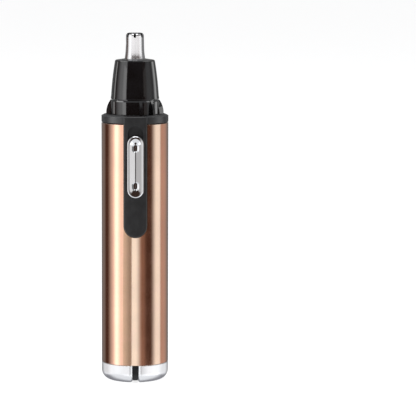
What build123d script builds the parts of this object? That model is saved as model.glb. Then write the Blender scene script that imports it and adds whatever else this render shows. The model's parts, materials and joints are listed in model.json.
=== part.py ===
"""A battery-driven nose hair trimmer, as an assembly of separate pieces.

The row frame: millimetres, +Z up along the tube, the switch at the front (-Y), and the origin at
the centre of the flat base that the trimmer stands on.
"""
import os
from math import asin, cos, degrees, hypot, radians, sin

from build123d import *

os.makedirs("parts", exist_ok=True)

BASE = (Align.CENTER, Align.CENTER, Align.MIN)
FRONT = -90.0  # the compass angle of the switch side, in degrees from +X
OUT = 30.0  # a length that reaches past the trimmer's skin from its axis

# ---------------------------------------------------------------- driving dimensions
TOTAL_HEIGHT = 139.6

BARREL_R = 13.4
BARREL_WALL = 0.7
BARREL_BORE_R = BARREL_R - BARREL_WALL
BARREL_LOW = 7.25
BARREL_HIGH = 103.8
BARREL_BEVEL = 0.15
BARREL_CUT_BEVEL = 0.12

COLLAR_R = 13.4
COLLAR_SEAT_R = 11.2
COLLAR_MOUTH_R = 9.6
COLLAR_LOW = 104.15
COLLAR_SHOULDER = 106.7
COLLAR_HIGH = 107.25
COLLAR_TOP_R = 12.3
COLLAR_LIP = 0.4
COLLAR_BEVEL = 0.12

CAP_R = 13.35
CAP_HIGH = 7.15
CAP_CORNER_R = 3.8
CAP_FLOOR = 2.4
CAP_CAVITY_R = 11.4
CAP_SLOT_WIDTH = 2.0
CAP_SLOT_DEPTH = 0.75
CAP_SLOT_LIP = 1.2
CAP_SLOT_END = 4.0  # how far in front of the axis the slot's round end is centred
CAP_BEVEL = 0.12

PANEL_WIDTH = 9.1
PANEL_LOW = 58.95
PANEL_HIGH = 107.0
PANEL_R = 13.85
PANEL_BACK_R = 12.0
PANEL_GAP = 0.1
PANEL_EDGE_R = 0.4
PANEL_FLANGE_HALF = 6.2
RECESS_WIDTH = 6.3
RECESS_FLOOR_R = 13.0

KNOB_LENGTH = 24.6
KNOB_WIDTH = 6.6
KNOB_MID = 87.15
KNOB_BACK_R = 13.95
KNOB_FRONT_R = 15.35
SWITCH_TRAVEL = 3.5
RECESS_SPARE = 0.5

CHASSIS_R = 12.5
CHASSIS_WALL = 1.2
CHASSIS_BORE_R = CHASSIS_R - CHASSIS_WALL
CHASSIS_LOW = 16.6
CHASSIS_HIGH = 98.0

NECK_LOW = 98.1
SPIGOT_R = 8.3
SPIGOT_HIGH = 111.3
HEAD_TWIST = 30.0
HEAD_LUG_SPAN = 12.0
HEAD_LUG_LOW = 108.5
HEAD_LUG_HIGH = 109.8

DRUM_R = 9.75
DRUM_LOW = 107.35
DRUM_HIGH = 113.0
DRUM_BEVEL = (0.4, 0.6)  # how far in, and how far down
WING_R = 11.5
CONE_R = 9.53
CONE_MID = (9.06, 120.4)
CONE_TOP_R = 7.92
CONE_LOW = 113.3
CONE_HIGH = 128.8
CONE_SKIRT = (0.2, 1.3)  # how far out the cone's foot flares, and over what height
CONE_DOME = 0.55  # how much the cone's top rises towards the cutter
CONE_BORE_R = 7.0
CUTTER_FLANGE_LOW = 126.4
CUTTER_FLANGE_HIGH = 127.4
CUTTER_FLANGE_R = 5.6
CUTTER_R = 4.1

MOTOR_R = 10.0
MOTOR_FLAT = 7.5
MOTOR_CAN_LOW = 80.5
MOTOR_CAN_HIGH = 101.0
MOTOR_SCREW_X = 5.5
SHAFT_R = 1.0

CELL_R = 7.2
CELL_LOW = 15.4
CELL_HIGH = 64.6
CAP_TWIST = 60.0
CAP_LUG_SPAN = 28.0


# ---------------------------------------------------------------- helpers
def radial_plane(angle, reach=0.0):
    """A plane that stands on a radius: local x points outwards, local y points up."""
    a = radians(angle)
    return Plane(
        origin=(reach * cos(a), reach * sin(a), 0),
        x_dir=(cos(a), sin(a), 0),
        z_dir=(sin(a), -cos(a), 0),
    )


def facing_plane(angle, reach):
    """A plane square to a radius: local x runs round the axis, local y points up."""
    a = radians(angle)
    return Plane(
        origin=(reach * cos(a), reach * sin(a), 0),
        x_dir=(-sin(a), cos(a), 0),
        z_dir=(cos(a), sin(a), 0),
    )


def disc(radius, low, high, mode=Mode.ADD):
    """A round slab on the trimmer's axis between two heights."""
    with Locations((0, 0, low)):
        Cylinder(radius, high - low, align=BASE, mode=mode)


def peg(x, y, radius, low, high, mode=Mode.ADD):
    """An upright round peg, or hole, away from the axis."""
    with Locations((x, y, low)):
        Cylinder(radius, high - low, align=BASE, mode=mode)


def block(x, y, z, mode=Mode.ADD):
    """A box from three (low, high) spans."""
    with Locations((sum(x) / 2, sum(y) / 2, sum(z) / 2)):
        Box(x[1] - x[0], y[1] - y[0], z[1] - z[0], mode=mode)


def sector(inner, outer, low, high, middle, span, mode=Mode.ADD):
    """A piece of a ring, from its radii, heights, middle angle and angular span."""
    with BuildSketch(radial_plane(middle - span / 2)) as section:
        with Locations(((inner + outer) / 2, (low + high) / 2)):
            Rectangle(outer - inner, high - low)
    revolve(section.sketch, axis=Axis.Z, revolution_arc=span, mode=mode)


def turned(*points):
    """A solid of revolution from a closed polygon of (radius, height) points."""
    with BuildSketch(Plane.XZ) as section:
        with BuildLine():
            Polyline(*points, close=True)
        make_face()
    revolve(section.sketch, axis=Axis.Z)


def front_slot(width, low, high):
    """The outline of an upright slot with round ends, seen from the front."""
    with BuildSketch(Plane.XZ) as outline:
        with Locations((0, (low + high) / 2)):
            SlotOverall(high - low, width, rotation=90)
    return outline.sketch


def front_tongue(width, low, high):
    """The outline of an upright strip with a round lower end and a square upper end."""
    with BuildSketch(Plane.XZ) as outline:
        with Locations((0, low + width / 2)):
            Circle(width / 2)
            Rectangle(width, high - low - width / 2, align=(Align.CENTER, Align.MIN))
    return outline.sketch


def motor_outline(radius, flat, low, high, mode=Mode.ADD):
    """A round slab with two flats, the section of a small flat-sided motor."""
    with BuildSketch(Plane.XY.offset(low)) as outline:
        Circle(radius)
        Rectangle(2 * radius, 2 * flat, mode=Mode.INTERSECT)
    extrude(outline.sketch, amount=high - low, mode=mode)


def coil_spring(wire_r, coil_r, low, high, turns, cone_angle=0.0):
    """A round wire swept along a helix whose ends lie at the two heights."""
    rise = high - low - 2 * wire_r
    with BuildLine(Plane.XY.offset(low + wire_r)) as coil:
        Helix(rise / turns, rise, coil_r, cone_angle=cone_angle)
    with BuildSketch(Plane(origin=coil.line @ 0, z_dir=coil.line % 0)) as wire:
        Circle(wire_r)
    sweep(wire.sketch, path=coil.line, is_frenet=True)


def finish(piece, name):
    """Labels a finished piece and writes its STEP file."""
    piece.part.label = name
    export_step(piece.part, f"parts/{name}.step")


# ---------------------------------------------------------------- barrel and collar
def is_panel_opening(edge):
    """Whether an edge of the barrel runs round the panel's opening, on the outer skin."""
    middle = edge @ 0.5
    on_skin = abs(hypot(middle.X, middle.Y) - BARREL_R) < 0.01
    beside_panel = abs(middle.X) < PANEL_WIDTH and middle.Y < 0
    return on_skin and beside_panel and middle.Z < BARREL_HIGH - 0.2


with BuildPart() as barrel:
    disc(BARREL_R, BARREL_LOW, BARREL_HIGH)
    disc(BARREL_BORE_R, BARREL_LOW, BARREL_HIGH, mode=Mode.SUBTRACT)
    chamfer(barrel.edges().filter_by(GeomType.CIRCLE).group_by(SortBy.RADIUS)[-1], BARREL_BEVEL)
    extrude(
        front_tongue(PANEL_WIDTH + 2 * PANEL_GAP, PANEL_LOW - PANEL_GAP, BARREL_HIGH + 1),
        amount=OUT,
        mode=Mode.SUBTRACT,
    )
    chamfer(barrel.edges().filter_by(is_panel_opening), BARREL_CUT_BEVEL)
finish(barrel, "barrel")

with BuildPart() as collar_notch:
    tab_half = PANEL_WIDTH / 2 + PANEL_GAP
    block((-tab_half, tab_half), (-OUT, 0), (COLLAR_LOW - 1, COLLAR_HIGH + 1))
    disc(COLLAR_SEAT_R - 0.1, 0, TOTAL_HEIGHT, mode=Mode.SUBTRACT)

with BuildPart() as collar_ring:
    turned(
        (COLLAR_SEAT_R, COLLAR_LOW),
        (COLLAR_R - COLLAR_BEVEL, COLLAR_LOW),
        (COLLAR_R, COLLAR_LOW + COLLAR_BEVEL),
        (COLLAR_R, COLLAR_SHOULDER),
        (COLLAR_TOP_R, COLLAR_HIGH),
        (COLLAR_MOUTH_R, COLLAR_HIGH),
        (COLLAR_MOUTH_R, COLLAR_HIGH - COLLAR_LIP),
        (COLLAR_SEAT_R, COLLAR_HIGH - COLLAR_LIP),
    )
    add(collar_notch.part, mode=Mode.SUBTRACT)
finish(collar_ring, "collar_ring")

# ---------------------------------------------------------------- switch
with BuildPart() as recess_tool:
    recess_low = KNOB_MID - KNOB_LENGTH / 2 + 0.4
    recess_high = KNOB_MID + KNOB_LENGTH / 2 + SWITCH_TRAVEL + RECESS_SPARE
    extrude(front_slot(RECESS_WIDTH, recess_low, recess_high), amount=OUT)
    disc(RECESS_FLOOR_R, 0, TOTAL_HEIGHT, mode=Mode.SUBTRACT)

STEM_HALF = 1.25
STEM_LOW = 82.6
STEM_HIGH = 92.2
STEM_TIP = -14.1
STEM_ROOM = 0.2
with BuildPart() as switch_panel:
    sector(PANEL_BACK_R, PANEL_R, PANEL_LOW, PANEL_HIGH, FRONT, 60)
    sector(COLLAR_SEAT_R + 0.05, PANEL_R, COLLAR_LOW + 0.05, PANEL_HIGH, FRONT, 60)
    extrude(
        front_tongue(PANEL_WIDTH, PANEL_LOW, PANEL_HIGH), amount=OUT, mode=Mode.INTERSECT
    )
    skin = switch_panel.faces().sort_by(Axis.Y)[0]
    fillet(skin.edges(), PANEL_EDGE_R)
    add(recess_tool.part, mode=Mode.SUBTRACT)
    flange_span = 2 * degrees(asin(PANEL_FLANGE_HALF / PANEL_BACK_R))
    flange_out = BARREL_BORE_R - 0.1
    sector(PANEL_BACK_R, flange_out, PANEL_LOW - 1.5, BARREL_HIGH - 0.4, FRONT, flange_span)
    block(
        (-STEM_HALF - STEM_ROOM, STEM_HALF + STEM_ROOM),
        (-OUT, 0),
        (STEM_LOW - STEM_ROOM, STEM_HIGH + SWITCH_TRAVEL + STEM_ROOM),
        mode=Mode.SUBTRACT,
    )
finish(switch_panel, "switch_panel")

# The dish's flanks slope in to a groove, and a pad is sunk at each end of it.
DISH_WIDTH = 6.6
DISH_DEPTH = 0.75
DISH_SLOPE = 76.4
PAD_WIDTH = 3.0
PAD_LENGTH = 4.2
PAD_REACH = 7.5
PAD_START = 15.0
PAD_DEPTH = 0.55
PAD_SLOPE = 55
GROOVE_HALF = 0.18
GROOVE_REACH = 9.2
GROOVE_FLOOR = 14.25
GROOVE_EYE_R = 0.45
KNOB_FACE = KNOB_FRONT_R + 0.05
KNOB_EDGE_R = 0.5
KNOB_RIM = 0.8
with BuildPart() as switch_knob:
    knob_low = KNOB_MID - KNOB_LENGTH / 2
    knob_high = KNOB_MID + KNOB_LENGTH / 2
    extrude(front_slot(KNOB_WIDTH, knob_low, knob_high), amount=OUT)
    disc(KNOB_BACK_R, 0, TOTAL_HEIGHT, mode=Mode.SUBTRACT)
    disc(KNOB_FRONT_R, 0, TOTAL_HEIGHT, mode=Mode.INTERSECT)
    fillet(switch_knob.faces().sort_by(Axis.Y)[0].edges(), KNOB_EDGE_R)
    with BuildSketch(Plane.XZ.offset(KNOB_FACE)):
        with Locations((0, KNOB_MID)):
            SlotOverall(KNOB_LENGTH - 2 * KNOB_RIM, DISH_WIDTH, rotation=90)
    extrude(amount=-DISH_DEPTH, taper=DISH_SLOPE, mode=Mode.SUBTRACT)
    for end in (-1, 1):
        with BuildSketch(Plane.XZ.offset(PAD_START)):
            with Locations((0, KNOB_MID + end * PAD_REACH)):
                SlotOverall(PAD_LENGTH, PAD_WIDTH, rotation=90)
        extrude(amount=-PAD_DEPTH, taper=PAD_SLOPE, mode=Mode.SUBTRACT)
        with BuildSketch(Plane.XZ.offset(GROOVE_FLOOR)):
            with Locations((0, KNOB_MID + end * (GROOVE_REACH + GROOVE_EYE_R / 2))):
                Circle(GROOVE_EYE_R)
        extrude(amount=OUT, mode=Mode.SUBTRACT)
    block(
        (-GROOVE_HALF, GROOVE_HALF),
        (-OUT, -GROOVE_FLOOR),
        (KNOB_MID - GROOVE_REACH, KNOB_MID + GROOVE_REACH),
        mode=Mode.SUBTRACT,
    )
    block(
        (-STEM_HALF, STEM_HALF), (STEM_TIP, 0), (STEM_LOW, STEM_HIGH), mode=Mode.SUBTRACT
    )
finish(switch_knob, "switch_knob")

SLIDER_HALF = 3.9
SLIDER_FACE = -11.1
SLIDER_BACK = -10.25
SLIDER_Z = (80.0, 94.0)
CARD_CORNER_R = 0.8
with BuildPart() as switch_slider:
    block((-SLIDER_HALF, SLIDER_HALF), (SLIDER_FACE, SLIDER_BACK), SLIDER_Z)
    fillet(switch_slider.edges().filter_by(Axis.Y), CARD_CORNER_R)
    block((-STEM_HALF, STEM_HALF), (STEM_TIP, SLIDER_FACE), (STEM_LOW, STEM_HIGH))
finish(switch_slider, "switch_slider")

STRIP = 0.3  # the thickness of every sheet-metal strip
STRIP_FACE = -9.2
CONTACT_HALF = 3.4
CONTACT_Z = (83.5, 91.0)
DIMPLE_X = 2.2
DIMPLE_Z = 90.0
DIMPLE_R = 0.8
DIMPLE_GAP = 0.07
with BuildPart() as switch_contact:
    block((-CONTACT_HALF, CONTACT_HALF), (SLIDER_BACK, SLIDER_BACK + STRIP), CONTACT_Z)
    fillet(switch_contact.edges().filter_by(Axis.Y), 0.6)
    with BuildSketch(Plane.XZ.offset(-SLIDER_BACK - STRIP)):
        with Locations((-DIMPLE_X, DIMPLE_Z), (DIMPLE_X, DIMPLE_Z)):
            Circle(DIMPLE_R)
    extrude(amount=SLIDER_BACK + STRIP - STRIP_FACE + DIMPLE_GAP)
finish(switch_contact, "switch_contact")

BASE_FACE = STRIP_FACE + STRIP
BASE_BACK = -7.85
BASE_HALF = 6.5
BASE_Z = (74.2, 97.5)
with BuildPart() as switch_base:
    block((-BASE_HALF, BASE_HALF), (BASE_FACE, BASE_BACK), BASE_Z)
    fillet(switch_base.edges().filter_by(Axis.Y), CARD_CORNER_R)
finish(switch_base, "switch_base")

BRUSH_PIN_X = (2.5, 3.5)
BRUSH_PIN_Y = (5.1, 5.4)
BRUSH_PIN_LOW = 73.7
PAD_LOW = 92.6
PAD_HIGH = 96.6
STRIP_SIDE = 5.6
with BuildPart() as motor_strip:
    block((0.8, STRIP_SIDE), (STRIP_FACE, BASE_FACE), (PAD_LOW, PAD_HIGH))
    block((4.2, STRIP_SIDE), (STRIP_FACE, BASE_FACE), (BRUSH_PIN_LOW - STRIP, PAD_LOW))
    block(
        (BRUSH_PIN_X[0], STRIP_SIDE),
        (BASE_FACE - STRIP, -BRUSH_PIN_Y[0]),
        (BRUSH_PIN_LOW - 2 * STRIP, BRUSH_PIN_LOW - STRIP),
    )
    block(
        BRUSH_PIN_X,
        (-BRUSH_PIN_Y[1], -BRUSH_PIN_Y[0]),
        (BRUSH_PIN_LOW - STRIP, BRUSH_PIN_LOW),
    )
finish(motor_strip, "motor_strip")

# ---------------------------------------------------------------- chassis halves
BOSS_X = 9.4
BOSS_R = 1.7
BOSS_HEIGHTS = (25.0, 72.4)
SCREW_R = 0.8
SCREW_SEAT_Y = 3.5
CELL_BORE_R = 7.6
CELL_RIBS = (18.0, 33.0, 48.0, 62.0)
RIB = 1.5
DIVIDER_LOW = 66.9
MOTOR_RIBS = (77.2, 90.0)
WINDOW_HALF = 6.6
WINDOW_Y = -7.55
WINDOW_LOW = 56.5
STRIP_CHANNEL = ((-1.7, 1.7), (8.4, 9.1), (CHASSIS_LOW, 75.0))
SCREW_CLEARANCE = 0.1


def chassis_features():
    """The shell, ribs and bosses that both halves share before they are split."""
    disc(CHASSIS_R, CHASSIS_LOW, CHASSIS_HIGH)
    disc(CHASSIS_BORE_R, CHASSIS_LOW, CHASSIS_HIGH, mode=Mode.SUBTRACT)
    for low in CELL_RIBS:
        disc(CHASSIS_BORE_R + 0.2, low, low + RIB)
        disc(CELL_BORE_R, low, low + RIB, mode=Mode.SUBTRACT)
    disc(CHASSIS_BORE_R + 0.2, DIVIDER_LOW, DIVIDER_LOW + RIB)
    for low in MOTOR_RIBS:
        disc(CHASSIS_BORE_R + 0.2, low, low + RIB)
        motor_outline(MOTOR_R + 0.1, MOTOR_FLAT + 0.1, low, low + RIB, mode=Mode.SUBTRACT)
    for x in (-BOSS_X, BOSS_X):
        for z in BOSS_HEIGHTS:
            with Locations(Plane((x, 0, z), x_dir=(1, 0, 0), z_dir=(0, 1, 0))):
                Cylinder(BOSS_R, 10.0)
    block(*STRIP_CHANNEL, mode=Mode.SUBTRACT)
    block(
        (-WINDOW_HALF, WINDOW_HALF),
        (-OUT, WINDOW_Y),
        (WINDOW_LOW, CHASSIS_HIGH),
        mode=Mode.SUBTRACT,
    )


def boss_hole(radius, near, far):
    """A hole along Y in each of the four screw bosses, between two depths."""
    for x in (-BOSS_X, BOSS_X):
        for z in BOSS_HEIGHTS:
            with Locations(Plane((x, near, z), x_dir=(1, 0, 0), z_dir=(0, 1, 0))):
                Cylinder(radius, far - near, align=BASE, mode=Mode.SUBTRACT)


with BuildPart() as chassis_front:
    chassis_features()
    split(bisect_by=Plane.XZ, keep=Keep.TOP)
    boss_hole(SCREW_R, -4.0, 0)
finish(chassis_front, "chassis_front")

with BuildPart() as chassis_rear:
    chassis_features()
    split(bisect_by=Plane.XZ, keep=Keep.BOTTOM)
    boss_hole(SCREW_R + SCREW_CLEARANCE, 0, SCREW_SEAT_Y)
    boss_hole(BOSS_R, SCREW_SEAT_Y, OUT)
finish(chassis_rear, "chassis_rear")


def pan_head_screw(plane, head_r, head_h, shank_r, shank_l):
    """A cross-recessed screw whose head stands on the plane and whose shank goes below it."""
    with Locations(plane):
        Cylinder(head_r, head_h, align=BASE)
        Cylinder(shank_r, shank_l, align=(Align.CENTER, Align.CENTER, Align.MAX))
    with Locations(plane.offset(head_h)):
        for turn in (0, 90):
            Box(
                head_r * 1.2,
                head_r * 0.25,
                head_h,
                rotation=(0, 0, turn),
                mode=Mode.SUBTRACT,
            )


with BuildPart() as chassis_screws:
    for x in (-BOSS_X, BOSS_X):
        for z in BOSS_HEIGHTS:
            seat = Plane((x, SCREW_SEAT_Y, z), x_dir=(1, 0, 0), z_dir=(0, 1, 0))
            pan_head_screw(seat, 1.5, 1.0, SCREW_R, 7.0)
finish(chassis_screws, "chassis_screws")

# ---------------------------------------------------------------- neck
DECK = 104.6
SHOULDER = COLLAR_LOW - 0.05
SEAT_TOP = COLLAR_HIGH - COLLAR_LIP - 0.05
TOWER_R = 4.0
TOWER_BORE_R = 3.1
TOWER_HIGH = 108.0
SEAL_R = 3.5
SEAL_LOW = 106.45
RING_GROOVE_R = 7.75
RING_GROOVE_Z = (106.95, 107.95)
with BuildPart() as neck_housing:
    disc(CHASSIS_R, NECK_LOW, SHOULDER)
    disc(COLLAR_SEAT_R - 0.02, SHOULDER, SEAT_TOP)
    disc(SPIGOT_R, SEAT_TOP, SPIGOT_HIGH)
    disc(7.0, DECK, SPIGOT_HIGH, mode=Mode.SUBTRACT)
    disc(TOWER_R, DECK, TOWER_HIGH)
    disc(TOWER_BORE_R, NECK_LOW, TOWER_HIGH, mode=Mode.SUBTRACT)
    disc(SEAL_R, SEAL_LOW - 0.05, TOWER_HIGH, mode=Mode.SUBTRACT)
    motor_outline(
        MOTOR_R + 0.1, MOTOR_FLAT + 0.1, NECK_LOW, MOTOR_CAN_HIGH + 0.02, mode=Mode.SUBTRACT
    )
    for x in (-MOTOR_SCREW_X, MOTOR_SCREW_X):
        peg(x, 0, 1.05, NECK_LOW, DECK, mode=Mode.SUBTRACT)
    block((-6.7, 6.7), (-OUT, -10.0), (NECK_LOW, SHOULDER), mode=Mode.SUBTRACT)
    block(
        (-WINDOW_HALF, WINDOW_HALF),
        (-OUT, WINDOW_Y),
        (NECK_LOW, NECK_LOW + 0.5),
        mode=Mode.SUBTRACT,
    )
    sector(RING_GROOVE_R, SPIGOT_R + 1, *RING_GROOVE_Z, 0, 360, mode=Mode.SUBTRACT)
    channel_span = HEAD_LUG_SPAN + HEAD_TWIST + 3
    for middle in (90, 210, 330):
        turn_middle = middle + HEAD_TWIST / 2
        sector(7.8, 9, HEAD_LUG_LOW - 0.15, 112, turn_middle, channel_span, mode=Mode.SUBTRACT)
finish(neck_housing, "neck_housing")

with BuildPart() as head_seal:
    with Locations((0, 0, sum(RING_GROOVE_Z) / 2)):
        Torus(RING_GROOVE_R + 0.33, 0.32)
finish(head_seal, "head_seal")

with BuildPart() as shaft_seal:
    turned(
        (2.66, SEAL_LOW + 0.25),
        (2.66, SEAL_LOW + 0.75),
        (3.0, SEAL_LOW + 1.05),
        (3.0, SEAL_LOW + 1.5),
        (SEAL_R, SEAL_LOW + 1.5),
        (SEAL_R, SEAL_LOW),
        (3.0, SEAL_LOW),
    )
finish(shaft_seal, "shaft_seal")

with BuildPart() as motor_screws:
    for x in (-MOTOR_SCREW_X, MOTOR_SCREW_X):
        pan_head_screw(Plane((x, 0, DECK)), 1.35, 1.1, 0.95, 5.0)
finish(motor_screws, "motor_screws")

# ---------------------------------------------------------------- motor, standing parts
CAN_WALL = 0.7
BUSH_R = 2.3
END_CAP_LOW = 76.2
END_CAP_FLOOR = 1.6
MAGNET_IN = 6.9
MAGNET_Z = (84.0, 99.0)
with BuildPart() as motor_can:
    motor_outline(MOTOR_R, MOTOR_FLAT, MOTOR_CAN_LOW, MOTOR_CAN_HIGH)
    fillet(motor_can.faces().sort_by(Axis.Z)[-1].edges(), 0.5)
    motor_outline(
        MOTOR_R - CAN_WALL,
        MOTOR_FLAT - CAN_WALL,
        MOTOR_CAN_LOW,
        MOTOR_CAN_HIGH - CAN_WALL,
        mode=Mode.SUBTRACT,
    )
    disc(3.0, MOTOR_CAN_HIGH - CAN_WALL, MOTOR_CAN_HIGH + 1.0)
    disc(BUSH_R, MOTOR_CAN_HIGH - CAN_WALL, MOTOR_CAN_HIGH + 1.0, mode=Mode.SUBTRACT)
    for x in (-MOTOR_SCREW_X, MOTOR_SCREW_X):
        peg(x, 0, 0.95, MOTOR_CAN_HIGH - 1, MOTOR_CAN_HIGH + 1, mode=Mode.SUBTRACT)
finish(motor_can, "motor_can")

with BuildPart() as motor_magnets:
    for middle in (0, 180):
        sector(MAGNET_IN, MOTOR_R - CAN_WALL - 0.03, *MAGNET_Z, middle, 80)
finish(motor_magnets, "motor_magnets")

with BuildPart() as motor_end_cap:
    motor_outline(MOTOR_R - 0.05, MOTOR_FLAT - 0.05, END_CAP_LOW, MOTOR_CAN_LOW)
    disc(6.4, END_CAP_LOW + END_CAP_FLOOR, MOTOR_CAN_LOW, mode=Mode.SUBTRACT)
    disc(BUSH_R, END_CAP_LOW, MOTOR_CAN_LOW, mode=Mode.SUBTRACT)
    for side in (-1, 1):
        pin_middle = side * sum(BRUSH_PIN_Y) / 2
        block(
            (BRUSH_PIN_X[0] - 0.05, BRUSH_PIN_X[1] + 0.05),
            (pin_middle - 0.2, pin_middle + 0.2),
            (END_CAP_LOW, MOTOR_CAN_LOW),
            mode=Mode.SUBTRACT,
        )
finish(motor_end_cap, "motor_end_cap")

with BuildPart() as motor_bushes:
    low_bush = (END_CAP_LOW - 0.3, END_CAP_LOW + END_CAP_FLOOR)
    high_bush = (MOTOR_CAN_HIGH - CAN_WALL, MOTOR_CAN_HIGH + 1.0)
    for low, high in (low_bush, high_bush):
        disc(BUSH_R, low, high)
        disc(SHAFT_R + 0.03, low, high, mode=Mode.SUBTRACT)
finish(motor_bushes, "motor_bushes")

COMMUTATOR_R = 2.2
COMMUTATOR_LOW = 78.2
COMMUTATOR_HIGH = 81.0
BRUSH_NEAR = COMMUTATOR_R + 0.08
BRUSH_Z = (78.6, 80.2)
with BuildPart() as motor_brushes:
    for side in (-1, 1):
        leaf = sorted((side * BRUSH_NEAR, side * (BRUSH_NEAR + STRIP)))
        arm = sorted((side * BRUSH_NEAR, side * BRUSH_PIN_Y[1]))
        pin = sorted((side * BRUSH_PIN_Y[0], side * BRUSH_PIN_Y[1]))
        block((-3.0, BRUSH_PIN_X[1]), leaf, BRUSH_Z)
        block((BRUSH_PIN_X[1] - STRIP, BRUSH_PIN_X[1]), arm, BRUSH_Z)
        block(BRUSH_PIN_X, pin, (BRUSH_PIN_LOW, BRUSH_Z[1]))
finish(motor_brushes, "motor_brushes")

# ---------------------------------------------------------------- rotor
SHAFT_HIGH = 106.5
with BuildPart() as motor_shaft:
    disc(SHAFT_R, END_CAP_LOW - 0.6, SHAFT_HIGH)
    chamfer(motor_shaft.edges().filter_by(GeomType.CIRCLE), 0.15)
finish(motor_shaft, "motor_shaft")

POLE_LOW = 86.0
POLE_HIGH = 97.0
POLE_HALF = 1.2
POLE_ANGLES = (90, 210, 330)
POLE_SHOE = (5.7, 6.5)
CORE_HUB_R = 2.6
with BuildPart() as armature_core:
    disc(CORE_HUB_R, POLE_LOW, POLE_HIGH)
    for angle in POLE_ANGLES:
        with BuildSketch(Plane.XY.offset(POLE_LOW)):
            with Locations(Location((0, 0, 0), (0, 0, angle))):
                Rectangle(POLE_SHOE[0] + 0.3, 2 * POLE_HALF, align=(Align.MIN, Align.CENTER))
        extrude(amount=POLE_HIGH - POLE_LOW)
        sector(*POLE_SHOE, POLE_LOW, POLE_HIGH, angle, 96)
    disc(SHAFT_R, POLE_LOW, POLE_HIGH, mode=Mode.SUBTRACT)
finish(armature_core, "armature_core")

WINDING_IN = 2.9
WINDING_OUT = 5.1
with BuildPart() as armature_windings:
    for angle in POLE_ANGLES:
        with BuildSketch(facing_plane(angle, WINDING_IN)) as turns:
            with Locations((0, (POLE_LOW + POLE_HIGH) / 2)):
                RectangleRounded(4.6, POLE_HIGH - POLE_LOW + 2.6, 0.9)
                Rectangle(2 * POLE_HALF, POLE_HIGH - POLE_LOW, mode=Mode.SUBTRACT)
        extrude(turns.sketch, amount=WINDING_OUT - WINDING_IN)
finish(armature_windings, "armature_windings")

RISER_R = 2.9
RISER_HIGH = COMMUTATOR_HIGH + 0.6
with BuildPart() as commutator:
    bar_length = COMMUTATOR_HIGH - COMMUTATOR_LOW
    disc(COMMUTATOR_R, COMMUTATOR_LOW, COMMUTATOR_HIGH)
    disc(RISER_R, COMMUTATOR_HIGH, RISER_HIGH)
    for angle in POLE_ANGLES:
        with Locations(Location((0, 0, COMMUTATOR_LOW), (0, 0, angle + 60))):
            with Locations((COMMUTATOR_R, 0, 0)):
                Box(1.0, 0.3, bar_length, align=BASE, mode=Mode.SUBTRACT)
    disc(SHAFT_R, COMMUTATOR_LOW, RISER_HIGH, mode=Mode.SUBTRACT)
finish(commutator, "commutator")

TONGUE_WIDTH = 4.2
TONGUE_THICK = 1.1
TONGUE_LOW = 107.7
COUPLER_R = 2.6
COUPLER_LOW = 103.0
COUPLER_HIGH = 110.5
with BuildPart() as drive_coupler:
    disc(COUPLER_R, COUPLER_LOW, COUPLER_HIGH)
    chamfer(drive_coupler.edges().filter_by(GeomType.CIRCLE), 0.25)
    disc(SHAFT_R, COUPLER_LOW, SHAFT_HIGH, mode=Mode.SUBTRACT)
    slot_half = TONGUE_THICK / 2 + 0.1
    block(
        (-OUT, OUT),
        (-slot_half, slot_half),
        (TONGUE_LOW - 0.3, COUPLER_HIGH + 1),
        mode=Mode.SUBTRACT,
    )
finish(drive_coupler, "drive_coupler")

# ---------------------------------------------------------------- head
# Narrow grip fins stand in a group, at these angles from the switch side, that comes again
# half a turn round. A broad wing with a ridge stands out on each side.
SOCKET_HIGH = 116.2
HUB_R = 3.3
HUB_BORE_R = 1.86
HUB_Z = (111.0, 118.2)
FINS = (12, 41, 192, 221)
FIN_THICKNESS = 1.1
FIN_ROOT = 9.0
RIB_MID = (11.1, 110.25)  # a point on the curved back of every fin and wing
RIB_TOP_R = 9.7
WINGS = (90, -90)
WING_HALF = 2.4
WING_SLOPE = 35
WING_ROOT = 6.5
WING_FOOT = 104.5


def rib_outline(angle, inner, low):
    """The upright outline of a fin or wing, from inside the drum out to its curved back."""
    with BuildSketch(radial_plane(FRONT + angle)) as outline:
        with BuildLine():
            back = ThreePointArc((WING_R, DRUM_LOW), RIB_MID, (RIB_TOP_R, DRUM_HIGH))
            foot = () if low == DRUM_LOW else ((WING_R, low),)
            Polyline(back @ 1, (inner, DRUM_HIGH), (inner, low), *foot, back @ 0)
        make_face()
    return outline.sketch


with BuildPart() as head_base:
    turned(
        (0, DRUM_LOW),
        (DRUM_R, DRUM_LOW),
        (DRUM_R, DRUM_HIGH - DRUM_BEVEL[1]),
        (DRUM_R - DRUM_BEVEL[0], DRUM_HIGH),
        (0, DRUM_HIGH),
    )
    for angle in FINS:
        extrude(rib_outline(angle, FIN_ROOT, DRUM_LOW), amount=FIN_THICKNESS / 2, both=True)
    for angle in WINGS:
        extrude(
            rib_outline(angle, WING_ROOT, WING_FOOT),
            amount=WING_HALF,
            both=True,
            taper=WING_SLOPE,
        )
    disc(OUT, WING_FOOT - 1, DRUM_LOW, mode=Mode.SUBTRACT)
    disc(SPIGOT_R, DRUM_HIGH, SOCKET_HIGH)
    disc(SPIGOT_R - 1.0, DRUM_HIGH, SOCKET_HIGH, mode=Mode.SUBTRACT)
    disc(SPIGOT_R + 0.15, DRUM_LOW, DRUM_HIGH - 1.0, mode=Mode.SUBTRACT)
    disc(HUB_R, *HUB_Z)
    disc(HUB_BORE_R, *HUB_Z, mode=Mode.SUBTRACT)
    for middle in (90, 210, 330):
        sector(7.9, SPIGOT_R + 0.4, HEAD_LUG_LOW, HEAD_LUG_HIGH, middle, HEAD_LUG_SPAN)
finish(head_base, "head_base")

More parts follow.
